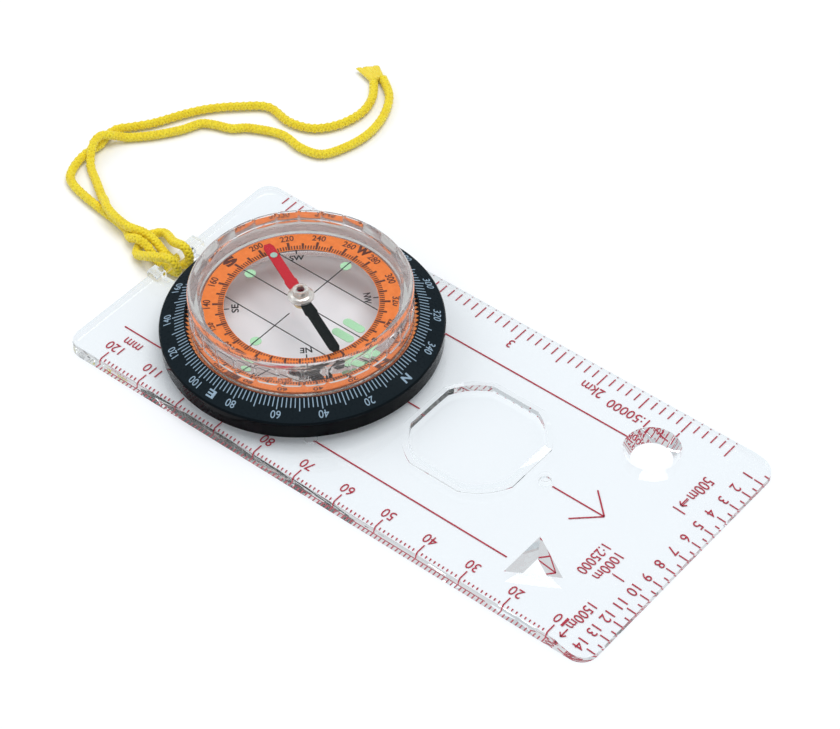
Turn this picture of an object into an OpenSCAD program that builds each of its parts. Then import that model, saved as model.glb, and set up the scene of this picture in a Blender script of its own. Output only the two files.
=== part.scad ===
// Baseplate compass: a clear map plate with a lens and cut-outs, a turning dial with a
// liquid capsule, a free needle on a point bearing, and a looped cord on the rear bar.
// Frame: origin on the dial axis at the plate's underside, +Y the direction of travel,
// +X towards the millimetre edge, +Z up. Millimetres.

/* [Baseplate] */
// Width of the plate across the direction of travel
plate_w = 60; // [60:1:66]
// Distance from the dial axis to the front edge
plate_front = 92; // [88:1:100]
// Distance from the dial axis to the rear edge
plate_rear = 36; // [36:1:40]
// Thickness of the plate
plate_t = 2.7; // [2.5:0.1:3]
// Radius of the plate's four corners
plate_corner_r = 3.5; // [2:0.5:5]
// Thickness left at the front edge, below the ruler bevel
front_edge_t = 1.1; // [0.8:0.1:1.5]
// Length of the ruler bevel at the front edge
front_bevel_l = 8; // [5:0.5:10]
// Radius of the rounding along the plate's top edges
plate_edge_r = 0.8; // [0.4:0.1:1.2]

/* [Lens and cut-outs] */
// Distance from the dial axis to the middle of the lens
lens_y = 43.7; // [43:0.1:45]
// Radius of the lens's round foot
lens_r = 14.4; // [14:0.1:15]
// Half width of the lens's foot between its side flats
lens_flat_x = 13.2; // [12:0.1:13.5]
// Half length of the lens's foot between its front and rear flats
lens_flat_y = 13.1; // [12:0.1:13.2]
// Height of the upright foot of the ridge round the lens, above the plate
lens_wall_h = 0.3; // [0.2:0.05:0.6]
// Height of the ridge's crest above the plate
lens_crest_h = 0.85; // [0.6:0.05:1.2]
// Depth of the lens's edge below the plate's top
lens_sink = 0.7; // [0.3:0.1:1]
// Rise of the lens's crown above its edge
lens_crown_h = 0.9; // [0.4:0.1:1.4]
// Radius of the marking hole at the underside
hole_r = 4.1; // [3:0.1:5]
// Amount by which the cut-outs widen from the underside to the top
cutout_flare = 1.55; // [0.5:0.05:1.8]
// Side of the triangular cut-out at the top
triangle_side = 10.75; // [9:0.1:12]

/* [Azimuth ring] */
// Outer radius of the azimuth ring
ring_r = 28.05; // [27.5:0.05:28.5]
// Height of the ring's outer edge above the table
ring_edge_z = 7; // [6.5:0.1:7.5]
// Height of the ring's inner edge above the table
ring_top_z = 9; // [8.5:0.1:9.5]

/* [Capsule] */
// Outer radius of the capsule
capsule_r = 22; // [22:0.1:22.3]
// Height of the capsule's top face above the table
capsule_top_z = 16.5; // [16:0.1:18]
// Thickness of the capsule's window
window_t = 1.5; // [1.2:0.1:1.8]
// Number of grip facets round the capsule
facet_count = 30; // [20:1:36]
// Radius of the rounding round the window's edge
capsule_edge_r = 1; // [0.5:0.1:1.4]
// Height of the orange ring's underside, which is the dial's floor, above the table
floor_z = 7.8; // [7.5:0.1:8]

/* [Needle] */
// Half length of the needle's blade
needle_half_l = 16.5; // [14:0.1:17.5]
// Width of the needle's blade
needle_w = 2.15; // [2:0.05:3]
// Angle of the needle's north end, clockwise from the direction of travel
needle_bearing = 204.8; // [0:0.1:360]

/* [Lanyard] */
// Radius of the bar that the cord is hitched to
bar_r = 1; // [0.8:0.1:1]
// Diameter of the cord
cord_d = 2; // [1.6:0.1:2]

/* [Hidden] */
$fn = 96;

eps = 0.01;
big = 200;
ink_t = 0.04;
glue_gap = 0.02;

// Plate details
bore_r = capsule_r + 0.06;
counterbore_r = 24.6;
counterbore_h = 1.3;
washer_r_in = 23.4;
washer_r_out = 26.6;
washer_groove_h = 0.35;
washer_t = 0.5;
hole_pos = [-18.2, 71.3];
triangle_pos = [17.65, 71.3];
mark_places = [[0, 59.9], [19, 18.4], [-19, 18.4]];
mark_r = 1.25;
mark_depth = 0.5;
witness_h = 0.08;
lens_rim_w = 1.45;

// Lanyard bar and the notch below it
bar_y = -34;
bar_z = 3.2;
foot_x = 4.4;
foot_w = 2.4;
foot_half_l = 1.5;
foot_top_z = 4.2;
notch_front_y = -30.4;

// Dial details
ring_underside_z = plate_t + 0.2;
ring_bore_r = capsule_r + glue_gap;
ring_lip_r = 22.8;
spigot_r = 21.2;
dial_underside_z = 0.25;
retaining_top_z = 1.2;
cavity_r = 20;
skirt_r = 20.8;
disc_t = 1.5;
gasket_t = 0.3;
facet_w = 4.1;
facet_h = 4.2;
facet_depth = 0.4;
facet_corner_r = 0.6;
facet_low_z = 10.9;
orange_r_in = 15.1;
orange_r_out = 19.5;
orange_t = 0.25;
lume_h = 0.15;
dot_r = 1.12;
dot_orbit = 13.3;
lume_bar_x = 1.65;
lume_bar_y = [10.4, 13.6];
lume_bar_r = 0.92;
plug_orbit = 17.5;
plug_r = 0.8;
parallel_line_x = 7.8;
line_gap_r = 3.5;

// Needle bearing
bush_r = 1.5;
bush_h = 1;
pin_r = 0.5;
pin_bottom_z = 6.6;
pin_shoulder_z = 11.2;
pin_tip_z = 12.3;
pin_tip_r = 0.06;
blade_z = 10.6;
blade_t = 0.4;
sleeve_r = 1.3;
hub_bore_r = 0.95;
flange_r = 2.6;
flange_h = 0.75;
cap_r = 1.55;
sight_r = 0.75;
hub_top_z = 14.7;
blade_taper_l = 1;
blade_tip_share = 0.6;
blade_neck_w = 1.8;
barb_w = 2.6;
barb_y = [4.9, 5.5];
jewel_z = [12.05, 12.95];
needle_lume_orbit = 13;
needle_lume_r = 0.72;

// Printed layers
ink_w = 0.35;
ruler_zero_y = plate_front + 0.2;
mm_range = [10, 120];
mm_stroke_l = 3.5;
map_stroke_l = 3;
edge_gap = 0.15;
guide_x = 19;
guide_y = [-30.3, 65.6];
guide_start_y = 20;
arrow_y = [61.6, 73.7];
arrow_head = [4.5, 4.9];

// Cord: the two strands leave the hitch side by side and meet again at the sealed tip
cord_r = cord_d / 2;
table_z = cord_r + 0.05;
hitch_r = bar_r + cord_r + 0.12;
cord_sides = 8;
cord_steps = 4;
tip_start = [-70.4, -39.6];
tip_t = 1.1;

// ---------- shared shapes ----------

// A flat ring from an inner to an outer radius
module ring(r_in, r_out, z, h) {
    translate([0, 0, z])
        difference() {
            cylinder(r = r_out, h = h);
            translate([0, 0, -eps])
                cylinder(r = r_in, h = h + 2 * eps);
        }
}

// Places children on a circle of radius r, at a bearing clockwise from +Y
module at_bearing(bearing, r) {
    rotate([0, 0, -bearing])
        translate([0, r, 0])
            children();
}

// A round-ended bar between two places along Y
module slot_2d(y_from, y_to, r) {
    translate([0, y_from])
        circle(r = r);
    translate([0, y_to])
        circle(r = r);
    translate([-r, y_from])
        square([2 * r, y_to - y_from]);
}

// A rectangle about the origin with round corners
module rounded_rectangle(w, h, r) {
    for (sx = [-1, 1])
        for (sy = [-1, 1])
            translate([sx * (w / 2 - r), sy * (h / 2 - r)])
                circle(r = r);
    square([w, h - 2 * r], center = true);
    square([w - 2 * r, h], center = true);
}

// A thin straight line of ink between two points
module ink_line(a, b, w) {
    d = b - a;
    translate(a)
        rotate([0, 0, atan2(d[1], d[0])])
            translate([0, -w / 2])
                square([norm(d), w]);
}

// ---------- baseplate ----------

// Cross-section of the plate between two edges, rounded along the top of both
module plate_section(from, to) {
    translate([from + plate_edge_r, 0])
        square([to - from - 2 * plate_edge_r, plate_t]);
    translate([from, 0])
        square([to - from, plate_t - plate_edge_r]);
    for (x = [from + plate_edge_r, to - plate_edge_r])
        translate([x, plate_t - plate_edge_r])
            circle(r = plate_edge_r);
}

// Half of the same cross-section, turned into one rounded corner of the plate
module plate_corner(turn) {
    rotate([0, 0, turn])
        rotate_extrude(angle = 90) {
            square([plate_corner_r - plate_edge_r, plate_t]);
            square([plate_corner_r, plate_t - plate_edge_r]);
            translate([plate_corner_r - plate_edge_r, plate_t - plate_edge_r])
                circle(r = plate_edge_r);
        }
}

// The plate with its rounded edges: a wide and a long slab that cross, and four corners
module rounded_plate() {
    x = plate_w / 2 - plate_corner_r;
    y_low = -plate_rear + plate_corner_r;
    y_high = plate_front - plate_corner_r;
    translate([0, y_high, 0])
        rotate([90, 0, 0])
            linear_extrude(y_high - y_low)
                plate_section(-plate_w / 2, plate_w / 2);
    translate([-x, 0, 0])
        rotate([90, 0, 90])
            linear_extrude(2 * x)
                plate_section(-plate_rear, plate_front);
    translate([x, y_high, 0])
        plate_corner(0);
    translate([-x, y_high, 0])
        plate_corner(90);
    translate([-x, y_low, 0])
        plate_corner(180);
    translate([x, y_low, 0])
        plate_corner(270);
}

// Side view of the plate along X, with the ruler bevel at the front
module plate_side() {
    polygon([
        [-plate_rear - 1, 0],
        [plate_front + 1, 0],
        [plate_front + 1, front_edge_t],
        [plate_front, front_edge_t],
        [plate_front - front_bevel_l, plate_t],
        [-plate_rear - 1, plate_t]
    ]);
}

module plate_slab() {
    intersection() {
        rounded_plate();
        rotate([90, 0, 90])
            translate([0, 0, -plate_w])
                linear_extrude(2 * plate_w)
                    plate_side();
    }
}

// A prism along Y with upright feet and sides that slope in to the ridge's crest
module sloped_prism(half_w) {
    wall_z = plate_t + lens_wall_h;
    crest_z = plate_t + lens_crest_h;
    crest_x = half_w - lens_rim_w;
    rotate([90, 0, 0])
        translate([0, 0, -big / 2])
            linear_extrude(big)
                polygon([
                    [-half_w, 1],
                    [half_w, 1],
                    [half_w, wall_z],
                    [crest_x, crest_z],
                    [-crest_x, crest_z],
                    [-half_w, wall_z]
                ]);
}

// The block that the lens is cut into: a round foot with four flats and a sloped border
module lens_block() {
    translate([0, lens_y, 0])
        intersection() {
            union() {
                translate([0, 0, plate_t - 0.5])
                    cylinder(r = lens_r, h = lens_wall_h + 0.5);
                translate([0, 0, plate_t + lens_wall_h])
                    cylinder(r1 = lens_r, r2 = lens_r - lens_rim_w, h = lens_crest_h - lens_wall_h);
            }
            sloped_prism(lens_flat_x);
            rotate([0, 0, 90])
                sloped_prism(lens_flat_y);
        }
}

// What is taken out inside the ridge, down to the lens's crowned face
module lens_recess() {
    inner_r = lens_r - lens_rim_w;
    inner_x = lens_flat_x - lens_rim_w;
    inner_y = lens_flat_y - lens_rim_w;
    edge_z = plate_t - lens_sink;
    crown_r = (inner_r * inner_r + lens_crown_h * lens_crown_h) / (2 * lens_crown_h);
    translate([0, lens_y, 0])
        difference() {
            intersection() {
                translate([0, 0, edge_z - 0.5])
                    cylinder(r = inner_r, h = 5);
                translate([-inner_x, -inner_y, edge_z - 1])
                    cube([2 * inner_x, 2 * inner_y, 6]);
            }
            translate([0, 0, edge_z + lens_crown_h - crown_r])
                sphere(r = crown_r, $fn = 200);
        }
}

// Bar across the rear notch, on two feet, for the cord's hitch
module lanyard_bar() {
    translate([-foot_x - foot_w, bar_y, bar_z])
        rotate([0, 90, 0])
            cylinder(r = bar_r, h = 2 * (foot_x + foot_w));
    for (side = [-1, 1])
        translate([side * (foot_x + foot_w / 2) - foot_w / 2, bar_y - foot_half_l, plate_t - 0.1])
            cube([foot_w, 2 * foot_half_l, foot_top_z - plate_t + 0.1]);
}

// Triangle cut, widening upwards: the common part of three leaning half-spaces
module triangle_cut() {
    translate([triangle_pos[0], triangle_pos[1], 0])
        intersection() {
            leaning_half_space(0);
            leaning_half_space(120);
            leaning_half_space(240);
        }
}

// All that lies inside one side of the triangle, as a block big enough to stand for it
module leaning_half_space(turn) {
    inscribed_r = triangle_side / (2 * sqrt(3));
    lean = atan2(cutout_flare, plate_t);
    reach = 3 * triangle_side;
    depth = 2 * plate_t;
    rotate([0, 0, turn])
        translate([0, -inscribed_r, plate_t])
            rotate([lean, 0, 0])
                translate([-reach / 2, 0, -depth])
                    cube([reach, reach, 2 * depth]);
}

module round_cut() {
    flare = cutout_flare / plate_t;
    translate([hole_pos[0], hole_pos[1], -1])
        cylinder(r1 = hole_r - flare, r2 = hole_r + cutout_flare + flare, h = plate_t + 2);
}

module plate_with_notch() {
    difference() {
        plate_slab();
        translate([-foot_x, -plate_rear - 1, -1])
            cube([2 * foot_x, notch_front_y + plate_rear + 1, plate_t + 2]);
    }
}

module baseplate() {
    color([0.86, 0.9, 0.98, 0.45])
        difference() {
            union() {
                plate_with_notch();
                lens_block();
                lanyard_bar();
                translate([mark_places[0][0], mark_places[0][1], plate_t - eps])
                    cylinder(r = mark_r, h = witness_h + eps);
            }
            lens_recess();
            translate([0, 0, -1])
                cylinder(r = bore_r, h = plate_t + 2);
            translate([0, 0, -1])
                cylinder(r = counterbore_r, h = counterbore_h + 1);
            ring(washer_r_in - 0.1, washer_r_out + 0.1, plate_t - washer_groove_h, 1);
            round_cut();
            triangle_cut();
            for (place = mark_places)
                translate([place[0], place[1], mark_depth - 1])
                    cylinder(r = mark_r, h = 1);
        }
}

module drag_washer() {
    color([0.93, 0.93, 0.9])
        ring(washer_r_in, washer_r_out, plate_t - washer_groove_h, washer_t);
}

// ---------- dial ----------

module azimuth_ring() {
    color([0.09, 0.11, 0.13])
        rotate_extrude($fn = 180)
            polygon([
                [ring_bore_r, ring_underside_z],
                [ring_r - 0.5, ring_underside_z],
                [ring_r - 0.15, ring_underside_z + 0.3],
                [ring_r, ring_edge_z - 0.4],
                [ring_r - 0.25, ring_edge_z],
                [ring_lip_r + 0.15, ring_top_z],
                [ring_lip_r, ring_top_z - 0.1],
                [ring_lip_r, ring_top_z - 1.4],
                [ring_bore_r, ring_top_z - 1.7]
            ]);
}

module retaining_ring() {
    color([0.8, 0.84, 0.9])
        ring(spigot_r + glue_gap, counterbore_r - 0.3, dial_underside_z,
            retaining_top_z - dial_underside_z - glue_gap);
}

// Clear cup: window on top, wall round the side, skirt and spigot below
module capsule_housing() {
    color([0.88, 0.92, 0.98, 0.35])
        difference() {
            rotate_extrude($fn = 180) {
                polygon([
                    [spigot_r, dial_underside_z],
                    [spigot_r, retaining_top_z],
                    [capsule_r, retaining_top_z],
                    [capsule_r, capsule_top_z - capsule_edge_r],
                    [capsule_r - capsule_edge_r, capsule_top_z],
                    [0, capsule_top_z],
                    [0, capsule_top_z - window_t],
                    [cavity_r - 0.6, capsule_top_z - window_t],
                    [cavity_r, capsule_top_z - window_t - 0.6],
                    [cavity_r, floor_z],
                    [skirt_r, floor_z],
                    [skirt_r, dial_underside_z]
                ]);
                translate([capsule_r - capsule_edge_r, capsule_top_z - capsule_edge_r])
                    circle(r = capsule_edge_r);
            }
            for (i = [0 : facet_count - 1])
                at_bearing((i + 0.5) * 360 / facet_count, capsule_r - facet_depth)
                    facet_cut();
        }
}

// One shallow grip pocket with rounded corners, cut inwards from the capsule's wall
module facet_cut() {
    cut_l = 2;
    translate([0, cut_l, facet_low_z + facet_h / 2])
        rotate([90, 0, 0])
            linear_extrude(cut_l)
                rounded_rectangle(facet_w, facet_h, facet_corner_r);
}

// Clear disc that closes the capsule, with a rebate for the gasket and bores for pin and plug
module capsule_base() {
    color([0.85, 0.89, 0.95, 0.5])
        difference() {
            union() {
                translate([0, 0, floor_z - disc_t])
                    cylinder(r = skirt_r - glue_gap, h = disc_t - gasket_t);
                translate([0, 0, floor_z - gasket_t - eps])
                    cylinder(r = cavity_r - glue_gap, h = gasket_t + eps);
            }
            translate([0, 0, pin_bottom_z])
                cylinder(r = pin_r, h = disc_t);
            at_bearing(45, plug_orbit)
                translate([0, 0, floor_z - disc_t - 1])
                    cylinder(r = plug_r, h = disc_t + 2);
        }
}

module seal_ring() {
    color([0.9, 0.9, 0.88])
        ring(cavity_r + glue_gap, skirt_r - glue_gap, floor_z - gasket_t, gasket_t);
}

module fill_plug() {
    color([0.92, 0.92, 0.9])
        at_bearing(45, plug_orbit) {
            translate([0, 0, floor_z - disc_t])
                cylinder(r = plug_r - glue_gap, h = disc_t - glue_gap);
            translate([0, 0, floor_z - disc_t - 0.5])
                cylinder(r = plug_r + 0.5, h = 0.5);
        }
}

module dial_ring() {
    color([0.91, 0.45, 0.16])
        ring(orange_r_in, orange_r_out, floor_z, orange_t);
}

module lume_dots() {
    color([0.65, 0.86, 0.66])
        for (bearing = [90, 180, 270])
            at_bearing(bearing, dot_orbit)
                translate([0, 0, floor_z])
                    cylinder(r = dot_r, h = lume_h);
}

module lume_bars() {
    color([0.65, 0.86, 0.66])
        for (side = [-1, 1])
            translate([side * lume_bar_x, 0, floor_z])
                linear_extrude(lume_h)
                    slot_2d(lume_bar_y[0], lume_bar_y[1], lume_bar_r);
}

// ---------- needle and its bearing ----------

module pivot_bush() {
    color([0.8, 0.68, 0.4])
        ring(pin_r + glue_gap, bush_r, floor_z, bush_h);
}

module pivot_pin() {
    color([0.7, 0.71, 0.73])
        union() {
            translate([0, 0, pin_bottom_z])
                cylinder(r = pin_r - glue_gap, h = pin_shoulder_z - pin_bottom_z);
            translate([0, 0, pin_shoulder_z])
                cylinder(r1 = pin_r - glue_gap, r2 = pin_tip_r, h = pin_tip_z - pin_shoulder_z);
        }
}

// Outline of the blade along +Y: blunt ends, and small barbs where it narrows to the hub
module blade_outline() {
    w = needle_w / 2;
    shoulder = needle_half_l - blade_taper_l;
    tip = w * blade_tip_share;
    for (turn = [0, 180])
        rotate([0, 0, turn])
            polygon([
                [-blade_neck_w / 2, 0],
                [blade_neck_w / 2, 0],
                [barb_w / 2, barb_y[0]],
                [w, barb_y[1]],
                [w, shoulder],
                [tip, needle_half_l],
                [-tip, needle_half_l],
                [-w, shoulder],
                [-w, barb_y[1]],
                [-barb_w / 2, barb_y[0]]
            ]);
    circle(r = flange_r - 0.3);
}

module needle_blade() {
    color([0.78, 0.16, 0.2])
        rotate([0, 0, -needle_bearing])
            translate([0, 0, blade_z])
                linear_extrude(blade_t)
                    difference() {
                        blade_outline();
                        circle(r = sleeve_r + glue_gap);
                    }
}

// Nickel cap: sleeve through the blade, flange over it, crown with a sighting hole
module needle_hub() {
    flange_z = blade_z + blade_t;
    color([0.82, 0.81, 0.78])
        rotate_extrude()
            polygon([
                [hub_bore_r, blade_z - 0.3],
                [sleeve_r, blade_z - 0.3],
                [sleeve_r, flange_z],
                [flange_r, flange_z],
                [flange_r, flange_z + flange_h],
                [flange_r - 0.5, flange_z + flange_h + 0.5],
                [cap_r, flange_z + flange_h + 0.6],
                [cap_r, hub_top_z - 0.25],
                [cap_r - 0.25, hub_top_z],
                [sight_r + 0.3, hub_top_z],
                [sight_r, hub_top_z - 0.3],
                [sight_r, jewel_z[1] + 0.05],
                [hub_bore_r, jewel_z[1] + 0.05]
            ]);
}

// Jewel with a cone-shaped cup that rests on the pin's point
module jewel_bearing() {
    color([0.75, 0.2, 0.35])
        difference() {
            translate([0, 0, jewel_z[0]])
                cylinder(r = hub_bore_r - glue_gap, h = jewel_z[1] - jewel_z[0]);
            translate([0, 0, jewel_z[0] - eps])
                cylinder(r1 = 0.62, r2 = pin_tip_r + 0.02, h = pin_tip_z + 0.04 - jewel_z[0]);
        }
}

module needle_lume() {
    color([0.62, 0.78, 0.68])
        at_bearing(needle_bearing, needle_lume_orbit)
            translate([0, 0, blade_z + blade_t])
                cylinder(r = needle_lume_r, h = lume_h);
}

// ---------- ink layers ----------

// Red ink under the plate: guide lines, travel arrow, and the numbered strokes of the rulers
module plate_print() {
    edge_x = plate_w / 2 - edge_gap;
    color([0.72, 0.14, 0.22])
        linear_extrude(ink_t) {
            for (side = [-1, 1]) {
                ink_line([side * guide_x, guide_start_y], [side * guide_x, guide_y[1]], ink_w);
                ink_line([side * guide_x, guide_y[0]], [side * guide_x, -guide_start_y], ink_w);
                ink_line([0, arrow_y[1]], [side * arrow_head[0], arrow_y[1] - arrow_head[1]], ink_w);
            }
            ink_line([0, arrow_y[0]], [0, arrow_y[1]], ink_w);
            for (mm = [mm_range[0] : 10 : mm_range[1]]) {
                y = ruler_zero_y - mm;
                ink_line([edge_x - mm_stroke_l, y], [edge_x, y], ink_w);
                ink_line([-edge_x, y], [-edge_x + map_stroke_l, y], ink_w);
            }
            for (i = [1 : 14]) {
                x = -plate_w / 2 + 4 * i;
                ink_line([x, plate_front - edge_gap - 2.4], [x, plate_front - edge_gap], ink_w);
            }
        }
}

// Black ink on the capsule's floor: three north lines and the east to west line
module dial_print() {
    reach = orange_r_in - 0.4;
    side_reach = sqrt(reach * reach - parallel_line_x * parallel_line_x);
    color([0.1, 0.1, 0.12])
        translate([0, 0, floor_z])
            linear_extrude(ink_t)
                difference() {
                    union() {
                        ink_line([0, -reach], [0, reach], ink_w);
                        ink_line([-reach, 0], [reach, 0], ink_w);
                        for (side = [-1, 1])
                            ink_line([side * parallel_line_x, -side_reach],
                                [side * parallel_line_x, side_reach], ink_w);
                    }
                    circle(r = line_gap_r);
                    for (bearing = [90, 180, 270])
                        at_bearing(bearing, dot_orbit)
                            circle(r = dot_r + 0.02);
                }
}

// White ink on the azimuth ring: a stroke every twenty degrees on the sloped face
module ring_print() {
    slope = atan2(ring_top_z - ring_edge_z, ring_r - 0.25 - ring_lip_r - 0.15);
    color([0.85, 0.9, 0.95])
        for (i = [0 : 17])
            at_bearing(i * 20, ring_lip_r + 0.3)
                translate([0, 0, ring_top_z - 0.02])
                    rotate([-slope, 0, 0])
                        translate([-0.15, 0, -0.02])
                            cube([0.3, 2.2, 0.06]);
}

// ---------- lanyard ----------

// One point of the hitch, going round the bar: 0 degrees is in front, 90 on top
function hitch_point(x, angle) =
    [x, bar_y + hitch_r * cos(angle), bar_z + hitch_r * sin(angle)];

// Way points of the cord, from the tip along the outer strand, round the hitch and back.
// The third number of a strand's point is its height above a cord that lies on the table.
outer_strand = [
    [-69.4, -40.3, 0], [-65.2, -37.2, 0], [-60, -35.8, 0], [-54.2, -37, 0], [-49.7, -40.5, 0],
    [-48.1, -46, 0], [-49, -52.5, 0], [-45.5, -57.4, 0], [-41, -61.9, 0], [-36.5, -64.9, 0],
    [-30, -68.2, 0], [-26.1, -71, 0], [-23.6, -73, 0], [-20.8, -73.2, 0], [-17.5, -72.3, 0],
    [-14.2, -72.7, 0], [-11.1, -72.3, 0], [-8, -71.2, 0], [-5.9, -69.6, 0], [-4.6, -66.5, 0],
    [-3.6, -61.5, 0], [-2.9, -56.2, 0], [-2.5, -53, 0], [-1.9, -49.9, 0], [-1.1, -48.4, 0.1],
    [-0.05, -46.8, 0.7], [0.3, -44.4, 2.1], [0.15, -41.9, 1.5], [0.8, -39.4, 0.4], [1.25, -37, 0]
];
inner_strand = [
    [-1.25, -37, 0], [-1.6, -39.4, 0.5], [-2, -41.9, 1.5], [-1.9, -44.4, 2.1], [-1.5, -46.8, 2.1],
    [-1.25, -48.4, 2.05], [-1.43, -50.7, 2.05], [-2, -53.5, 2.05], [-3, -56.2, 2.05],
    [-4.4, -58.1, 1.55], [-5.4, -59.9, 0.85], [-7.5, -63, 0.25], [-9.3, -65.8, 0],
    [-10.9, -68.4, 0], [-12.6, -70.2, 0.55], [-14.4, -71.4, 1.65], [-16.15, -72.2, 2.05],
    [-18.2, -72.4, 2.05], [-19.6, -71.6, 1.75], [-21.4, -70.7, 0.75], [-23.2, -69.1, 0],
    [-26.9, -65.6, 0], [-31.6, -62.3, 0], [-34.5, -61, 0], [-36.3, -60, 0], [-37.6, -57.5, 0],
    [-38.9, -54, 0], [-41.4, -51.1, 0], [-44, -44.5, 0], [-43.3, -38.5, 0], [-44.5, -33.7, 0],
    [-49.3, -31.2, 0], [-55.3, -30.2, 0], [-61.7, -31.3, 0], [-67.8, -34.6, 0], [-71.6, -39.6, 0]
];

// The loop's closed end passes over the bar and lies on the table, under both strands
hitch = [
    hitch_point(1.25, -90), hitch_point(1.6, -30), hitch_point(2, 30), hitch_point(2.3, 85),
    [2.95, -38.3, 3.7], [2.75, -40.7, 2.4], [2.1, -43.1, 1.15], [-0.9, -44.7, 1.05],
    [-4, -44.7, 1.05], [-5.6, -43, 1.4], [-4.9, -40.6, 2.3], [-3.25, -37.6, 3.7],
    hitch_point(-2.3, 85), hitch_point(-2, 30), hitch_point(-1.6, -30), hitch_point(-1.25, -90)
];

function lifted(strand) = [for (p = strand) p + [0, 0, table_z]];
way_points = concat(lifted(outer_strand), hitch, lifted(inner_strand));

// Catmull-Rom spline through the way points
function spline_point(p, i, t) =
    let (
        last = len(p) - 1,
        a = p[max(i - 1, 0)],
        b = p[i],
        c = p[min(i + 1, last)],
        d = p[min(i + 2, last)]
    )
    0.5 * (2 * b + (c - a) * t + (2 * a - 5 * b + 4 * c - d) * t * t
        + (3 * b - a - 3 * c + d) * t * t * t);

function cord_line() = [
    for (i = [0 : len(way_points) - 2])
        for (k = [0 : cord_steps - 1])
            spline_point(way_points, i, k / cord_steps),
    way_points[len(way_points) - 1]
];

function unit(v) = v / norm(v);

// Carries a side vector along the line without twist
function carried(prev, dir) = unit(prev - (prev * dir) * dir);
function directions(line) = [
    for (i = [0 : len(line) - 1])
        unit(line[min(i + 1, len(line) - 1)] - line[max(i - 1, 0)])
];
function side_vectors(dirs) = [
    for (i = 0, v = carried([0, 0, 1], dirs[0]); i < len(dirs);
        i = i + 1, v = i < len(dirs) ? carried(v, dirs[i]) : v) v
];

// Round tube along a line
module tube(line, r, sides) {
    dirs = directions(line);
    ups = side_vectors(dirs);
    count = len(line);
    points = [
        for (i = [0 : count - 1])
            for (k = [0 : sides - 1])
                let (a = 360 * k / sides, across = cross(dirs[i], ups[i]))
                line[i] + r * (cos(a) * ups[i] + sin(a) * across)
    ];
    walls = [
        for (i = [0 : count - 2])
            for (k = [0 : sides - 1])
                let (n = (k + 1) % sides)
                [i * sides + k, (i + 1) * sides + k, (i + 1) * sides + n, i * sides + n]
    ];
    start_cap = [[for (k = [0 : sides - 1]) k]];
    end_cap = [[for (k = [sides - 1 : -1 : 0]) (count - 1) * sides + k]];
    polyhedron(points = points, faces = concat(walls, start_cap, end_cap), convexity = 10);
}

module lanyard_cord() {
    color([0.93, 0.82, 0.15])
        tube(cord_line(), cord_r, cord_sides);
}

// The two cord ends melted together and pressed into a flat fan
module lanyard_tip() {
    color([0.9, 0.76, 0.2])
        translate([0, 0, table_z - tip_t / 2])
            linear_extrude(tip_t)
                polygon([
                    tip_start + [1.6, -0.4],
                    tip_start + [0.1, -6.2],
                    tip_start + [-3.8, -2.8],
                    tip_start + [-1.9, 0.4],
                    tip_start + [0, 0.5]
                ]);
}

baseplate();
drag_washer();
azimuth_ring();
retaining_ring();
capsule_housing();
capsule_base();
seal_ring();
fill_plug();
dial_ring();
lume_dots();
lume_bars();
pivot_bush();
pivot_pin();
needle_blade();
needle_hub();
jewel_bearing();
needle_lume();
plate_print();
dial_print();
ring_print();
lanyard_cord();
lanyard_tip();
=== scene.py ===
"""Looks of a baseplate compass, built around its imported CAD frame.

Lengths are in millimetres until they reach a mesh, which is in metres. The frame's origin is on the dial's
axis at the plate's underside: +Y is the direction of travel, +X the millimetre edge and +Z up.
"""

import math

import bmesh
import bpy
from mathutils import Matrix, Quaternion, Vector


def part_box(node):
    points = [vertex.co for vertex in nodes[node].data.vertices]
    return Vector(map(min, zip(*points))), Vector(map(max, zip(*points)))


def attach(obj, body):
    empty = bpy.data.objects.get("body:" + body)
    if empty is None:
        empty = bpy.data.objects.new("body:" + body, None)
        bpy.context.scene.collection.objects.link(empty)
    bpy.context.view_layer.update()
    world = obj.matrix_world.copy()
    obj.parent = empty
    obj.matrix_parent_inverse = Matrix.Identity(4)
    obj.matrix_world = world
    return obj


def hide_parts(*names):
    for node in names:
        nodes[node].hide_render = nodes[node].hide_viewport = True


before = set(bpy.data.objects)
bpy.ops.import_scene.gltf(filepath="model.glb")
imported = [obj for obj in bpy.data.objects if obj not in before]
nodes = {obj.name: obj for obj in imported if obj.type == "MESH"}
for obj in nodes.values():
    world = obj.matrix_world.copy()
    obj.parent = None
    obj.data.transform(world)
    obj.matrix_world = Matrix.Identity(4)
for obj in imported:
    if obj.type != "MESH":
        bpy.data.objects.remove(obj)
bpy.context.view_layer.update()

MM = 0.001


def box_mm(node):
    """Lowest and highest corner of a CAD node, in millimetres."""
    low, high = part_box(node)
    return low / MM, high / MM


# ---------- sizes taken from the frame ----------

plate_high = box_mm("baseplate")[1]
ring_high = box_mm("azimuth_ring")[1]
orange_low, orange_high = box_mm("dial_ring")
dot_high = box_mm("lume_dots")[1]
lume_low, lume_high = box_mm("needle_lume")
housing_high = box_mm("capsule_housing")[1]

plate_edge_x = plate_high.x
plate_front_y = plate_high.y
dial_floor_z = orange_low.z
orange_top_z = orange_high.z
dot_top_z = dot_high.z
ring_r = ring_high.x
ring_top_z = ring_high.z
needle_axis = Vector(((lume_low.x + lume_high.x) / 2, (lume_low.y + lume_high.y) / 2, 0)).normalized()

# ---------- sizes of the printed artwork ----------

INK_THICKNESS = 0.04
INK_LIFT = 0.02
RULER_ZERO_Y = plate_front_y + 0.2
ZERO_SHAPE = 0.58  # width of a printed 0 over its height

# ---------- shader trees ----------


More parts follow.
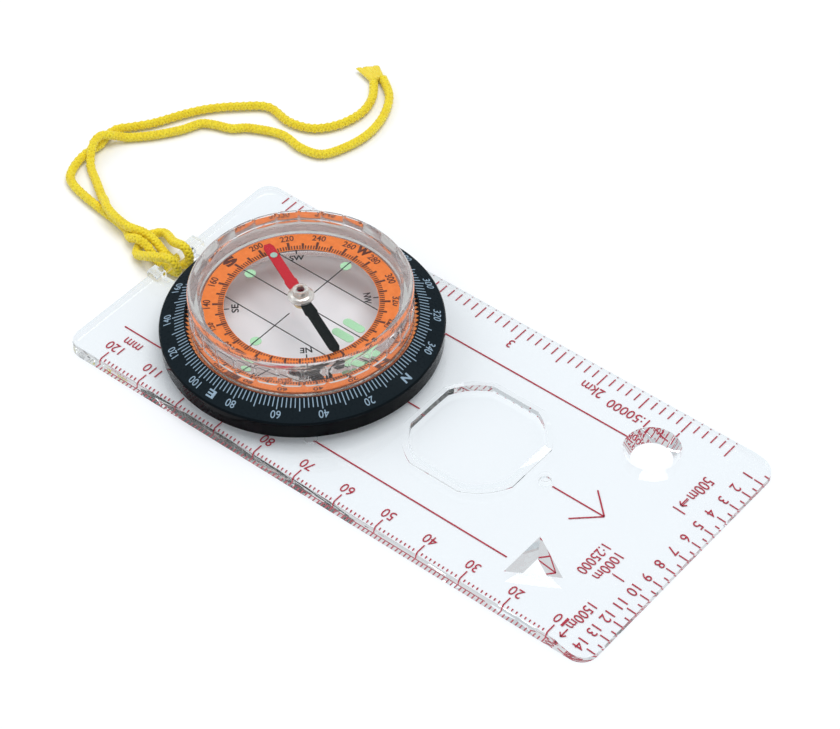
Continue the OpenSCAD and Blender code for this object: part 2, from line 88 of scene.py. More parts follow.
class Shader:
    """A material whose node tree is built from its textures towards its surface."""

    def __init__(self, name):
        self.material = bpy.data.materials.new(name)
        self.material.use_nodes = True
        self.tree = self.material.node_tree
        self.tree.nodes.clear()
        self.output = self.tree.nodes.new("ShaderNodeOutputMaterial")

    def node(self, kind, values=None, **settings):
        """A new node. values fills its inputs, by name or number, with numbers or other nodes' outputs."""
        made = self.tree.nodes.new("ShaderNode" + kind)
        for name, value in settings.items():
            setattr(made, name, value)
        for name, value in (values or {}).items():
            socket = made.inputs[name]
            if isinstance(value, bpy.types.NodeSocket):
                self.tree.links.new(value, socket)
            else:
                socket.default_value = value
        return made

    def surface(self, socket):
        self.tree.links.new(socket, self.output.inputs["Surface"])
        return self.material

    def place(self):
        """The point on the piece, in millimetres."""
        point = self.node("TexCoord").outputs["Object"]
        return self.node("VectorMath", {0: point, "Scale": 1 / MM}, operation="SCALE").outputs[0]

    def stretched(self, point, x, y, z):
        return self.node("VectorMath", {0: point, 1: (x, y, z)}, operation="MULTIPLY").outputs[0]

    def noise(self, point, per_mm, detail=2.0, roughness=0.5):
        values = {"Vector": point, "Scale": per_mm, "Detail": detail, "Roughness": roughness}
        return self.node("TexNoise", values).outputs["Fac"]

    def spread(self, value, low, high, to_low, to_high):
        """value moved from one range to another, held at its ends."""
        values = {"Value": value, "From Min": low, "From Max": high, "To Min": to_low, "To Max": to_high}
        return self.node("MapRange", values).outputs["Result"]

    def maths(self, operation, first, second=0.0):
        return self.node("Math", {0: first, 1: second}, operation=operation).outputs[0]

    def between(self, share, first, second):
        """A colour between two others. Each colour is three numbers or an output."""
        mix = self.node("Mix", data_type="RGBA")
        for socket, value in ((mix.inputs[0], share), (mix.inputs[6], first), (mix.inputs[7], second)):
            if isinstance(value, bpy.types.NodeSocket):
                self.tree.links.new(value, socket)
            elif isinstance(value, tuple):
                socket.default_value = (*value, 1.0)
            else:
                socket.default_value = value
        return mix.outputs[2]

    def mixed(self, share, first, second):
        """A surface between two others."""
        return self.node("MixShader", {0: share, 1: first, 2: second}).outputs[0]

    def bump(self, height, depth_mm, base=None):
        values = {"Height": height, "Distance": depth_mm * MM, "Strength": 1.0}
        if base is not None:
            values["Normal"] = base
        return self.node("Bump", values).outputs[0]

    def soft_edges(self, radius_mm):
        """A normal that rounds the piece's edges."""
        return self.node("Bevel", {"Radius": radius_mm * MM}, samples=4).outputs[0]

    def part(self, vector, axis):
        return self.node("SeparateXYZ", {0: vector}).outputs[axis]


def rgba(colour):
    return (*colour, 1.0)


GLOW_DEPTH = 8.5  # after more bounces than this inside a clear part, a painted glow stands in for the light still trapped there


def clear_plastic(name, index, tint, edge=0.9, glow=(0.72, 0.69, 0.70), haze=0.0):
    """Clear moulded plastic. Light on its way from a lamp, or bounced off the floor, goes straight through.

    edge is the share that gets through where the light meets the surface at a slant, glow the colour of a
    painted glow that the part gives off after many bounces inside, in place of the light still trapped
    there, and haze the share that the surface scatters.
    """
    s = Shader(name)
    point = s.place()
    waves = s.noise(point, 0.09, 1.0)
    scuffs = s.noise(s.stretched(point, 0.4, 3.0, 1.0), 1.6, 6.0, 0.7)
    roughness = s.spread(scuffs, 0.62, 0.85, 0.0, 0.03)
    glass = s.node(
        "BsdfGlass",
        {"Color": rgba(tint), "Roughness": roughness, "IOR": index, "Normal": s.bump(waves, 0.006)},
        distribution="GGX",
    )
    facing = s.node("LayerWeight", {"Blend": 0.35}).outputs["Facing"]
    slanted = tuple(edge * channel for channel in tint)
    passing = s.node("BsdfTransparent", {"Color": s.between(facing, tint, slanted)})
    path = s.node("LightPath")
    deep = s.maths("GREATER_THAN", path.outputs["Ray Depth"], GLOW_DEPTH)
    # painted glow: the part gives off this even colour as emission once a ray has bounced inside it more
    # than GLOW_DEPTH times
    painted_glow_emission = s.node("Emission", {"Color": rgba(glow), "Strength": 1.0})
    cloud = s.node("BsdfDiffuse", {"Color": rgba((0.86, 0.74, 0.70))})
    skin = s.mixed(haze, glass.outputs[0], cloud.outputs[0]) if haze else glass.outputs[0]
    body = s.mixed(deep, skin, painted_glow_emission.outputs[0])
    bounced = s.mixed(path.outputs["Is Diffuse Ray"], body, passing.outputs[0])
    return s.surface(s.mixed(path.outputs["Is Shadow Ray"], bounced, passing.outputs[0]))


def moulded_plastic(name, colour, roughness=0.4, grain_mm=0.004, specular=0.5, edge_r=0.08):
    """Opaque moulded plastic with a fine grain, slight colour drift and soft edges."""
    s = Shader(name)
    point = s.place()
    drift = s.noise(point, 0.6, 3.0)
    darker = tuple(channel * 0.86 for channel in colour)
    base = s.between(s.spread(drift, 0.35, 0.7, 0.0, 1.0), darker, colour)
    grain = s.noise(point, 9.0, 3.0)
    rough = s.spread(s.noise(point, 2.2, 4.0), 0.3, 0.8, roughness * 0.8, roughness * 1.25)
    normal = s.bump(grain, grain_mm, s.soft_edges(edge_r))
    shader = s.node(
        "BsdfPrincipled",
        {"Base Color": base, "Roughness": rough, "Normal": normal, "Specular IOR Level": specular},
    )
    return s.surface(shader.outputs[0])


def ring_plastic(name):
    """Black ring: a satin scale face, coloured lighter and bluer than the side wall as painted sheen, a
    glossier side wall, and a few specks of dust.
    """
    s = Shader(name)
    point = s.place()
    upright = s.maths("ABSOLUTE", s.part(s.node("NewGeometry").outputs["Normal"], 2))
    satin = s.spread(s.noise(point, 1.5, 5.0), 0.3, 0.75, 0.24, 0.36)
    glossy = s.spread(s.noise(point, 0.8, 3.0), 0.3, 0.75, 0.05, 0.09)
    share = s.spread(upright, 0.3, 0.8, 0.0, 1.0)
    rough = s.node("Mix", {0: share, 2: glossy, 3: satin}).outputs[0]
    dust = s.spread(s.noise(point, 4.0, 2.0), 0.74, 0.8, 0.0, 0.5)
    # painted sheen: faces that look upwards are coloured lighter and bluer than the dark side wall
    tone_with_painted_sheen = s.between(share, (0.0016, 0.0022, 0.0030), (0.0095, 0.0150, 0.0190))
    colour = s.between(dust, tone_with_painted_sheen, (0.03, 0.034, 0.038))
    normal = s.bump(s.noise(point, 14.0, 2.0), 0.0012, s.soft_edges(0.12))
    shader = s.node(
        "BsdfPrincipled",
        {"Base Color": colour, "Roughness": rough, "Normal": normal, "Specular IOR Level": 0.05},
    )
    return s.surface(shader.outputs[0])


def turned_metal(name, colour, roughness=0.16, metallic=1.0, groove_mm=0.002, grooves_per_mm=9.0):
    """Metal turned on a lathe: fine rings about the dial's axis, with a little tarnish."""
    s = Shader(name)
    point = s.place()
    flat = s.stretched(point, 1.0, 1.0, 0.0)
    radius = s.node("VectorMath", {0: flat}, operation="LENGTH").outputs["Value"]
    along = s.maths("ADD", radius, s.part(point, 2))
    rings = s.maths("SINE", s.maths("MULTIPLY", along, 2 * math.pi * grooves_per_mm))
    tarnish = s.spread(s.noise(point, 1.8, 5.0), 0.4, 0.75, 0.0, 1.0)
    dull = tuple(channel * 0.85 for channel in colour)
    rough = s.spread(tarnish, 0.0, 1.0, roughness, roughness * 1.9)
    normal = s.bump(rings, groove_mm, s.soft_edges(0.06))
    base = s.between(tarnish, colour, dull)
    shader = s.node(
        "BsdfPrincipled",
        {"Base Color": base, "Metallic": metallic, "Roughness": rough, "Normal": normal},
    )
    return s.surface(shader.outputs[0])


def needle_paint(name):
    """Red on the north half and black on the south half, with thin worn edges."""
    s = Shader(name)
    point = s.place()
    along = s.node("VectorMath", {0: point, 1: needle_axis}, operation="DOT_PRODUCT").outputs["Value"]
    wobble = s.spread(s.noise(point, 1.4, 3.0), 0.3, 0.7, -0.15, 0.15)
    north = s.maths("GREATER_THAN", s.maths("ADD", along, wobble), 0.0)
    brush = s.noise(point, 3.0, 4.0)
    red = s.between(s.spread(brush, 0.3, 0.7, 0.0, 1.0), (0.46, 0.018, 0.030), (0.55, 0.030, 0.042))
    black = s.between(s.spread(brush, 0.3, 0.7, 0.0, 1.0), (0.003, 0.005, 0.005), (0.006, 0.009, 0.009))
    normal = s.bump(brush, 0.006, s.soft_edges(0.1))
    base = s.between(north, black, red)
    shader = s.node(
        "BsdfPrincipled",
        {"Base Color": base, "Roughness": 0.38, "Normal": normal, "Specular IOR Level": 0.1},
    )
    return s.surface(shader.outputs[0])


def printed_ink(name, colour, patchy=0.2, roughness=0.5):
    """Screen-printed ink, a little uneven in density."""
    s = Shader(name)
    point = s.place()
    density = s.spread(s.noise(point, 2.5, 4.0), 0.35, 0.75, 0.0, patchy)
    pale = tuple(min(1.0, channel * 1.5 + 0.05) for channel in colour)
    normal = s.bump(s.noise(point, 12.0, 2.0), 0.003)
    shader = s.node(
        "BsdfPrincipled",
        {"Base Color": s.between(density, colour, pale), "Roughness": roughness, "Normal": normal},
    )
    return s.surface(shader.outputs[0])


def luminous_paint(name, colour):
    """Pale luminous paint with coarse pigment grains."""
    s = Shader(name)
    point = s.place()
    grains = s.node("TexVoronoi", {"Vector": point, "Scale": 5.0}).outputs["Distance"]
    pale = tuple(min(1.0, channel * 1.2) for channel in colour)
    shader = s.node(
        "BsdfPrincipled",
        {
            "Base Color": s.between(s.spread(grains, 0.1, 0.7, 0.0, 1.0), colour, pale),
            "Roughness": 0.6,
            "Normal": s.bump(grains, 0.01, s.soft_edges(0.06)),
        },
    )
    return s.surface(shader.outputs[0])


def braid_yarn(name):
    """Polyester filaments that run along each yarn of the braid. The mesh's map gives across and along."""
    s = Shader(name)
    across = s.node("UVMap", uv_map="yarn").outputs[0]
    fibres = s.noise(s.stretched(across, 26.0, 0.35, 1.0), 1.0, 3.0)
    slubs = s.noise(s.place(), 0.5, 3.0)
    colour = s.between(s.spread(fibres, 0.3, 0.72, 0.0, 1.0), (0.84, 0.56, 0.006), (1.0, 0.86, 0.03))
    colour = s.between(s.spread(slubs, 0.35, 0.75, 0.0, 0.25), colour, (1.0, 0.90, 0.08))
    shader = s.node(
        "BsdfPrincipled",
        {
            "Base Color": colour,
            "Roughness": 0.42,
            "Normal": s.bump(fibres, 0.05),
            "Sheen Weight": 0.25,
            "Sheen Tint": rgba((1.0, 0.95, 0.6)),
            "Subsurface Weight": 0.12,
            "Subsurface Radius": (1.0, 0.75, 0.1),
            "Subsurface Scale": 0.4 * MM,
        },
    )
    return s.surface(shader.outputs[0])


def fused_yarn(name):
    """Cord end melted flat: glassy yellow with the filaments still showing as ridges."""
    s = Shader(name)
    across = s.node("UVMap", uv_map="yarn").outputs[0]
    ridges = s.noise(s.stretched(across, 22.0, 2.0, 1.0), 1.0, 4.0)
    colour = s.between(s.spread(ridges, 0.3, 0.7, 0.0, 1.0), (0.78, 0.58, 0.02), (0.93, 0.78, 0.12))
    shader = s.node(
        "BsdfPrincipled",
        {
            "Base Color": colour,
            "Roughness": 0.34,
            "Normal": s.bump(ridges, 0.08),
            "Subsurface Weight": 0.2,
            "Subsurface Radius": (1.0, 0.8, 0.2),
            "Subsurface Scale": 0.8 * MM,
        },
    )
    return s.surface(shader.outputs[0])


def satin_card(name):
    """The orange scale's satin plastic, with a faint rolled texture."""
    s = Shader(name)
    point = s.place()
    mottle = s.noise(point, 0.9, 5.0)
    colour = s.between(s.spread(mottle, 0.3, 0.75, 0.0, 1.0), (0.74, 0.172, 0.026), (0.84, 0.215, 0.038))
    shader = s.node(
        "BsdfPrincipled",
        {"Base Color": colour, "Roughness": 0.45, "Normal": s.bump(s.noise(point, 11.0, 3.0), 0.004)},
    )
    return s.surface(shader.outputs[0])


PLASTIC_INDEX = 1.49
LIQUID_INDEX = 1.40

JEWEL_INDEX = 1.76
CAPSULE_TINT = (0.998, 0.999, 1.0)
# colours of the painted glow given off by the capsule's plastic and by its liquid-wet faces
CAPSULE_PAINTED_GLOW = (0.44, 0.37, 0.36)
LIQUID_PAINTED_GLOW = (0.70, 0.71, 0.76)

clear_plate = clear_plastic("clear_plate", PLASTIC_INDEX, (0.989, 0.998, 1.0), 0.85)
clear_capsule = clear_plastic("clear_capsule", PLASTIC_INDEX, CAPSULE_TINT, 0.93, CAPSULE_PAINTED_GLOW)
hazy_capsule = clear_plastic("hazy_capsule", PLASTIC_INDEX, CAPSULE_TINT, 0.93, CAPSULE_PAINTED_GLOW, 0.10)
wet_capsule = clear_plastic("wet_capsule", PLASTIC_INDEX / LIQUID_INDEX, CAPSULE_TINT, 0.97, LIQUID_PAINTED_GLOW)
black_plastic = ring_plastic("black_plastic")
white_nylon = moulded_plastic("white_nylon", (0.78, 0.77, 0.74), 0.5)
bore_painted_orange_light = moulded_plastic("bore_painted_orange_light", (0.78, 0.24, 0.06), 0.5)  # painted orange light: the black ring's bore is coloured orange for the light of the orange scale beside it
seal_rubber = moulded_plastic("seal_rubber", (0.62, 0.62, 0.60), 0.7)
orange_card = satin_card("orange_card")
lume_paint = luminous_paint("lume_paint", (0.35, 0.60, 0.37))
needle_lume_paint = luminous_paint("needle_lume_paint", (0.30, 0.44, 0.38))
brass = turned_metal("brass", (0.78, 0.60, 0.32))
steel = turned_metal("steel", (0.60, 0.60, 0.62))
nickel = turned_metal("nickel", (0.84, 0.82, 0.77), 0.13, 0.6, 0.0006)
blade_paint = needle_paint("blade_paint")
red_ink = printed_ink("red_ink", (0.40, 0.010, 0.035))
black_ink = printed_ink("black_ink", (0.008, 0.009, 0.012), 0.06)
scale_ink = printed_ink("scale_ink", (0.090, 0.020, 0.010), 0.08)
white_ink = printed_ink("white_ink", (0.27, 0.38, 0.48), 0.12)
yarn = braid_yarn("yarn")
fused = fused_yarn("fused")
jewel = clear_plastic("jewel", JEWEL_INDEX, (0.80, 0.14, 0.26))

# ---------- finishes on the CAD nodes ----------

FINISHES = {
    "baseplate": clear_plate,
    "drag_washer": white_nylon,
    "azimuth_ring": black_plastic,
    "retaining_ring": clear_capsule,
    "capsule_housing": clear_capsule,
    "capsule_base": clear_capsule,
    "seal_ring": seal_rubber,
    "fill_plug": white_nylon,
    "dial_ring": orange_card,
    "lume_dots": lume_paint,
    "lume_bars": lume_paint,
    "pivot_bush": brass,
    "pivot_pin": steel,
    "needle_blade": blade_paint,
    "needle_hub": nickel,
    "jewel_bearing": jewel,
    "needle_lume": needle_lume_paint,
}


def finish(node, material):
    """Gives a CAD node one material."""
    mesh = nodes[node].data
    mesh.materials.clear()
    mesh.materials.append(material)
    for face in mesh.polygons:
        face.material_index = 0


def finish_faces(node, material, belongs):
    """Gives a second material to the faces whose centre, in millimetres, passes the test."""
    mesh = nodes[node].data
    mesh.materials.append(material)
    index = len(mesh.materials) - 1
    for face in mesh.polygons:
        if belongs(face.center / MM):
            face.material_index = index


CAPSULE_R = 22.0
CAVITY_R = 20.0
WINDOW_T = 1.5
BORE_REACH = 0.3  # how far out of the capsule's wall a face still belongs to the ring's bore
HAZE_REACH = 0.9  # how far in from the capsule's outside the facets' faces reach
SLACK = 0.05


def axis_distance(point):
    return math.hypot(point.x, point.y)


def in_ring_bore(point):
    return axis_distance(point) < CAPSULE_R + BORE_REACH


def on_capsule_side(point):
    return axis_distance(point) > CAPSULE_R - HAZE_REACH


def touches_liquid(point):
    """True inside the capsule's cavity, its walls and its ceiling included."""
    window_underside_z = housing_high.z - WINDOW_T
    within = axis_distance(point) < CAVITY_R + SLACK
    return within and dial_floor_z + SLACK < point.z < window_underside_z + SLACK


def over_capsule_floor(point):
    return point.z > dial_floor_z - 0.02


for node, material in FINISHES.items():
    finish(node, material)
# the black ring's bore faces get the painted orange light
finish_faces("azimuth_ring", bore_painted_orange_light, in_ring_bore)
finish_faces("capsule_housing", hazy_capsule, on_capsule_side)
finish_faces("capsule_housing", wet_capsule, touches_liquid)
finish_faces("capsule_base", wet_capsule, over_capsule_floor)

# ---------- printed artwork ----------


def glyphs(text, bold, known={}):
    """Points and faces of a line of text one unit thick, centred on the origin."""
    key = (text, bold)
    if key not in known:
        curve = bpy.data.curves.new("letters", "FONT")
        curve.body = text
        curve.extrude = 0.5
        curve.offset = bold
        curve.resolution_u = 3
        holder = bpy.data.objects.new("letters", curve)
        soup = bmesh.new()
        soup.from_mesh(holder.to_mesh())
        bmesh.ops.remove_doubles(soup, verts=soup.verts, dist=1e-4)
        soup.verts.index_update()
        points = [tuple(v.co) for v in soup.verts]
        low, high = ([end(p[axis] for p in points) for axis in range(2)] for end in (min, max))
        middle = [(low[axis] + high[axis]) / 2 for axis in range(2)]
        size = [high[axis] - low[axis] for axis in range(2)]
        points = [(x - middle[0], y - middle[1], z) for x, y, z in points]
        known[key] = (points, [[v.index for v in face.verts] for face in soup.faces], size)
        soup.free()
        bpy.data.objects.remove(holder)
        bpy.data.curves.remove(curve)
    return known[key]


class Artwork:
    """Ink of one colour, gathered as one mesh.

    A place is a function that turns (across, up, height) into a point in the frame.
    """

    def __init__(self):
        self.mesh = bmesh.new()

    def add(self, points, faces):
        made = [self.mesh.verts.new(Vector(point) * MM) for point in points]
        for face in faces:
            self.mesh.faces.new([made[index] for index in face])

    def stroke(self, place, start, end, width):
        """A straight bar of ink from one point of the artwork to another."""
        a, b = Vector(start), Vector(end)
        side = (b - a).normalized().orthogonal() * width / 2
        corners = [a - side, b - side, b + side, a + side]
        low = [place(c.x, c.y, 0.0) for c in corners]
        high = [place(c.x, c.y, INK_THICKNESS) for c in corners]
        turned = side.cross(b - a) > 0
        faces = [(3, 2, 1, 0), (4, 5, 6, 7), (0, 1, 5, 4), (1, 2, 6, 5), (2, 3, 7, 6), (3, 0, 4, 7)]
        self.add(low + high, [face[::-1] for face in faces] if turned else faces)

    def text(self, place, words, height, width=None, bold=0.0):
        """A line of text centred on the place. Without a width, its letters are as narrow as the digits."""
        points, faces, size = glyphs(words, bold)
        zero = glyphs("0", bold)[2]
        tall = height / size[1]
        wide = width / size[0] if width else height / size[1] * ZERO_SHAPE / (zero[0] / zero[1])
        self.add([place(x * wide, y * tall, (z + 0.5) * INK_THICKNESS) for x, y, z in points], faces)

    def piece(self, name, material, body, slot, *stands_for):
        """Closes the artwork and turns it into a piece."""
        bmesh.ops.recalc_face_normals(self.mesh, faces=self.mesh.faces)
        return new_piece(name, self.mesh, [material], body, slot, *stands_for)


def new_piece(name, soup, materials, body, slot, *stands_for):
    """Turns a bmesh into a piece that rides on a body."""
    mesh = bpy.data.meshes.new(name)
    soup.to_mesh(mesh)
    soup.free()
    for material in materials:
        mesh.materials.append(material)
    piece = bpy.data.objects.new(name, mesh)
    bpy.context.scene.collection.objects.link(piece)
    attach(piece, body)
    if stands_for:
        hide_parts(*stands_for)
    return piece


def flat_place(x, y, z, turn=0.0):
    """Artwork laid level at a point, with its lines running at an angle to +X."""
    cos_t, sin_t = math.cos(math.radians(turn)), math.sin(math.radians(turn))

    def place(across, up, height):
        return (x + across * cos_t - up * sin_t, y + across * sin_t + up * cos_t, z + height)

    return place


def dial_place(bearing, radius, level, slope=0.0):
    """Artwork bent round a dial, tops outwards. level is the surface's height at a radius."""
    lean = math.cos(math.radians(slope))

    def place(across, up, height):
        r = radius + up * lean
        angle = math.radians(bearing) + across / radius
        return (r * math.sin(angle), r * math.cos(angle), level(r) + height)

    return place


def plate_place(x, y, turn=0.0):
    return flat_place(x, y, INK_LIFT, turn)


LONG_EDGE_TURN = -90
STROKE_W = 0.26
GUIDE_W = 0.3
TEXT_H = 2.2
LABEL_X = 24.55
GUIDE_X = 19
GUIDE_GAP_Y = 19  # the guide lines stop where the dial's bore cuts them
ARROW_TIP_Y = 73.7


def ruler_mm():
    """Millimetre ruler along the +X edge, from 10 to 120."""
    art = Artwork()
    outer = plate_edge_x - 0.12
    for mm in range(10, 121):
        y = RULER_ZERO_Y - mm
        inner = 26.2 if mm % 10 == 0 else 27.95
        art.stroke(plate_place(0, y), (inner, 0), (outer, 0), STROKE_W)
        if mm % 10 == 0:
            art.text(plate_place(LABEL_X, y, LONG_EDGE_TURN), str(mm), TEXT_H)
    art.text(plate_place(21.5, -25.7, LONG_EDGE_TURN), "mm", 1.6, 4.1)
    return art.piece("ruler_mm", red_ink, "base", "red_ink", "plate_print")


def scale_50000():
    """Map scale along the -X edge: a long stroke every 10 mm and a short one every 2 mm."""
    art = Artwork()
    outer = -plate_edge_x + 0.3
    for mm in range(10, 123, 2):
        y = RULER_ZERO_Y - mm
        inner = -26.3 if mm % 10 == 0 else -27.5
        art.stroke(plate_place(0, y), (inner, 0), (outer, 0), STROKE_W)
    for words, mm, width in (("1", 20, None), ("2km", 40, 5.1), ("3", 60, None), ("6", 120, None)):
        height = TEXT_H * 1.08 if words == "2km" else TEXT_H
        art.text(plate_place(-24.75, RULER_ZERO_Y - mm, LONG_EDGE_TURN), words, height, width)
    art.text(plate_place(-24.0, 61.3, LONG_EDGE_TURN), "1:50000", TEXT_H, 9.3)
    return art.piece("scale_50000", red_ink, "base", "red_ink")


def scale_25000():
    """Map scale along the front edge, four millimetres to the hundred metres."""
    art = Artwork()
    outer = plate_front_y - 0.15
    for hundred in range(1, 15):
        x = 4 * hundred - 29.4
        art.stroke(plate_place(x, 0), (0, 89.6), (0, outer), STROKE_W)
        art.stroke(plate_place(x - 2, 0), (0, 90.6), (0, outer), STROKE_W)
        art.text(plate_place(x, 88.1), str(hundred), TEXT_H)
    art.text(plate_place(-16.8, 83.45), "500m", TEXT_H, 6.0)
    art.text(plate_place(9.3, 81.5), "1000m", TEXT_H, 7.0)
    art.text(plate_place(9.5, 78.35), "1:25000", TEXT_H, 8.0)
    art.text(plate_place(21.5, 84.5), "1500m", TEXT_H, 6.7)
    for start, y in ((-13.3, 83.05), (25.4, 84.4)):
        tip = start + 2.2
        art.stroke(plate_place(0, y), (start, 0), (tip, 0), STROKE_W)
        for side in (-1, 1):
            art.stroke(plate_place(0, y), (tip, 0), (tip - 0.8, 0.7 * side), STROKE_W)
    art.stroke(plate_place(-9.95, 0), (0, 82.1), (0, 84.7), STROKE_W)
    art.stroke(plate_place(10.15, 0), (0, 83.1), (0, 85.6), STROKE_W)
    return art.piece("scale_25000", red_ink, "base", "red_ink")


def guide_lines():
    """Two long lines parallel to the edges, and the travel arrow."""
    art = Artwork()
    here = plate_place(0, 0)
    for side in (-1, 1):
        art.stroke(here, (GUIDE_X * side, -30.3), (GUIDE_X * side, -GUIDE_GAP_Y), GUIDE_W)
        art.stroke(here, (GUIDE_X * side, GUIDE_GAP_Y), (GUIDE_X * side, 65.7), GUIDE_W)
        art.stroke(here, (0, ARROW_TIP_Y), (4.5 * side, ARROW_TIP_Y - 4.9), GUIDE_W)
    art.stroke(here, (0, 61.6), (0, ARROW_TIP_Y), GUIDE_W)
    art.stroke(here, (0, 26.0), (0, 29.6), GUIDE_W)
    return art.piece("guide_lines", red_ink, "base", "red_ink")


# The ring's scale face, from its lip at the capsule down to its outer edge
FACE_R = (22.95, ring_r - 0.25)
FACE_Z = (ring_top_z, ring_top_z - 2.0)
FACE_SLOPE = math.degrees(math.atan2(FACE_Z[0] - FACE_Z[1], FACE_R[1] - FACE_R[0]))


def face_level(radius):
    share = (radius - FACE_R[0]) / (FACE_R[1] - FACE_R[0])
    return FACE_Z[0] + share * (FACE_Z[1] - FACE_Z[0]) - INK_LIFT / 2


def degree_labels():
    """What stands at each bearing: a number every 20 degrees and the four letters."""
    labels = {bearing: str(bearing) for bearing in range(20, 360, 20)}
    labels.update({0: "N", 90: "E", 180: "S", 270: "W"})
    return labels


def ring_scale():
    """Pale scale on the black ring."""
    art = Artwork()
    for bearing in range(0, 360, 2):
        outer = 25.35 if bearing % 20 == 0 else 25.55 if bearing % 10 == 0 else 24.9
        place = dial_place(bearing, FACE_R[0], face_level)
        art.stroke(place, (0, 0.1), (0, outer - FACE_R[0]), 0.18)
    for bearing, label in degree_labels().items():
        letter = label.isalpha()
        place = dial_place(bearing, 26.35, face_level, FACE_SLOPE)
        art.text(place, label, 1.65 if letter else 1.6, 1.75 if letter else None, 0.03 if letter else 0.0)
    return art.piece("ring_scale", white_ink, "dial", "white_ink", "ring_print")


def orange_level(radius):
    return orange_top_z - INK_LIFT / 2


def floor_level(radius):
    return dial_floor_z - INK_LIFT / 2


ORANGE_R_IN = 15.1
DOT_ORBIT = 13.3
HALF_CARDINAL_R = 12.9
LINE_W = 0.24


def dial_scale():
    """Dark scale on the orange ring."""
    art = Artwork()
    for bearing in range(0, 360, 2):
        if bearing % 20 == 0:
            length, width = 2.1, 0.46
        elif bearing % 10 == 0:
            length, width = 1.65, 0.42
        else:
            length, width = 1.0, 0.26
        place = dial_place(bearing, ORANGE_R_IN, orange_level)
        art.stroke(place, (0, 0.12), (0, 0.12 + length), width)
    for bearing, label in degree_labels().items():
        letter = label.isalpha()
        place = dial_place(bearing, 18.6 if letter else 18.45, orange_level)
        art.text(place, label, 2.1 if letter else 1.55, 3.0 if letter else None, 0.065 if letter else 0.02)
    return art.piece("dial_scale", scale_ink, "dial", "black_ink")


def dial_lines():
    """North lines, the east to west line and the four half-cardinal labels on the capsule's floor."""
    art = Artwork()
    here = flat_place(0, 0, dial_floor_z - INK_LIFT / 2)
    reach = ORANGE_R_IN - 0.1
    gap = 3.5
    parallel = 7.8
    side_reach = math.sqrt(reach ** 2 - parallel ** 2)
    for side in (-1, 1):
        art.stroke(here, (0, gap * side), (0, reach * side), LINE_W)
        art.stroke(here, (gap * side, 0), (reach * side, 0), LINE_W)
        art.stroke(here, (parallel * side, -side_reach), (parallel * side, side_reach), LINE_W)
    over_dot = flat_place(0, 0, dot_top_z)
    dot_r = dot_high.x - DOT_ORBIT + 0.02
    for side in (-1, 1):
        art.stroke(over_dot, (DOT_ORBIT * side - dot_r, 0), (DOT_ORBIT * side + dot_r, 0), LINE_W)
    art.stroke(over_dot, (0, -DOT_ORBIT - dot_r), (0, -DOT_ORBIT + dot_r), LINE_W)
    for bearing, label, wide in ((45, "NE", 2.3), (135, "SE", 2.3), (225, "SW", 2.9), (315, "NW", 2.9)):
        place = dial_place(bearing, HALF_CARDINAL_R, floor_level)
        art.text(place, label, 1.45, wide, 0.025)
        art.stroke(place, (0, 1.1), (0, 2.15), LINE_W)
    return art.piece("dial_lines", black_ink, "dial", "black_ink", "dial_print")


ruler_mm()
scale_50000()
scale_25000()
guide_lines()
ring_scale()
dial_scale()
dial_lines()

# ---------- cord ----------

CORD_R = 1.0
CORD_Z = CORD_R + 0.05
BAR_Y = -34.0
BAR_Z = 3.2
HITCH_R = CORD_R + 1.12


def hitch_point(x, degrees):
    """A point of the hitch round the rear bar: 0 degrees is in front and 90 on top."""
    angle = math.radians(degrees)
    return (x, BAR_Y + HITCH_R * math.cos(angle), BAR_Z + HITCH_R * math.sin(angle))


OUTER_STRAND = [
    (-69.4, -40.3), (-65.2, -37.2), (-60, -35.8), (-54.2, -37), (-49.7, -40.5), (-48.1, -46), (-49, -52.5),
    (-45.5, -57.4), (-41, -61.9), (-36.5, -64.9), (-30, -68.2), (-26.1, -71), (-23.6, -73), (-20.8, -73.2),
    (-17.5, -72.3), (-14.2, -72.7), (-11.1, -72.3), (-8, -71.2), (-5.9, -69.6), (-4.6, -66.5), (-3.6, -61.5),
    (-2.9, -56.2), (-2.5, -53), (-1.9, -49.9), (-1.1, -48.4, 0.1), (-0.05, -46.8, 0.7), (0.3, -44.4, 2.1),
    (0.15, -41.9, 1.5), (0.8, -39.4, 0.4), (1.25, -37),
]
INNER_STRAND = [
    (-1.25, -37), (-1.6, -39.4, 0.5), (-2, -41.9, 1.5), (-1.9, -44.4, 2.1), (-1.5, -46.8, 2.1),
    (-1.25, -48.4, 2.05), (-1.43, -50.7, 2.05), (-2, -53.5, 2.05), (-3, -56.2, 2.05), (-4.4, -58.1, 1.55),
    (-5.4, -59.9, 0.85), (-7.5, -63, 0.25), (-9.3, -65.8), (-10.9, -68.4), (-12.6, -70.2, 0.55),
    (-14.4, -71.4, 1.65), (-16.15, -72.2, 2.05), (-18.2, -72.4, 2.05), (-19.6, -71.6, 1.75),
    (-21.4, -70.7, 0.75), (-23.2, -69.1), (-26.9, -65.6), (-31.6, -62.3), (-34.5, -61), (-36.3, -60),
    (-37.6, -57.5), (-38.9, -54), (-41.4, -51.1), (-44, -44.5), (-43.3, -38.5), (-44.5, -33.7),
    (-49.3, -31.2), (-55.3, -30.2), (-61.7, -31.3), (-67.8, -34.6), (-71.6, -39.6),
]
HITCH = [
    hitch_point(1.25, -90), hitch_point(1.6, -30), hitch_point(2, 30), hitch_point(2.3, 85),
    (2.95, -38.3, 3.7), (2.75, -40.7, 2.4), (2.1, -43.1, 1.15), (-0.9, -44.7, 1.05), (-4, -44.7, 1.05),
    (-5.6, -43, 1.4), (-4.9, -40.6, 2.3), (-3.25, -37.6, 3.7), hitch_point(-2.3, 85), hitch_point(-2, 30),
    hitch_point(-1.6, -30), hitch_point(-1.25, -90),
]


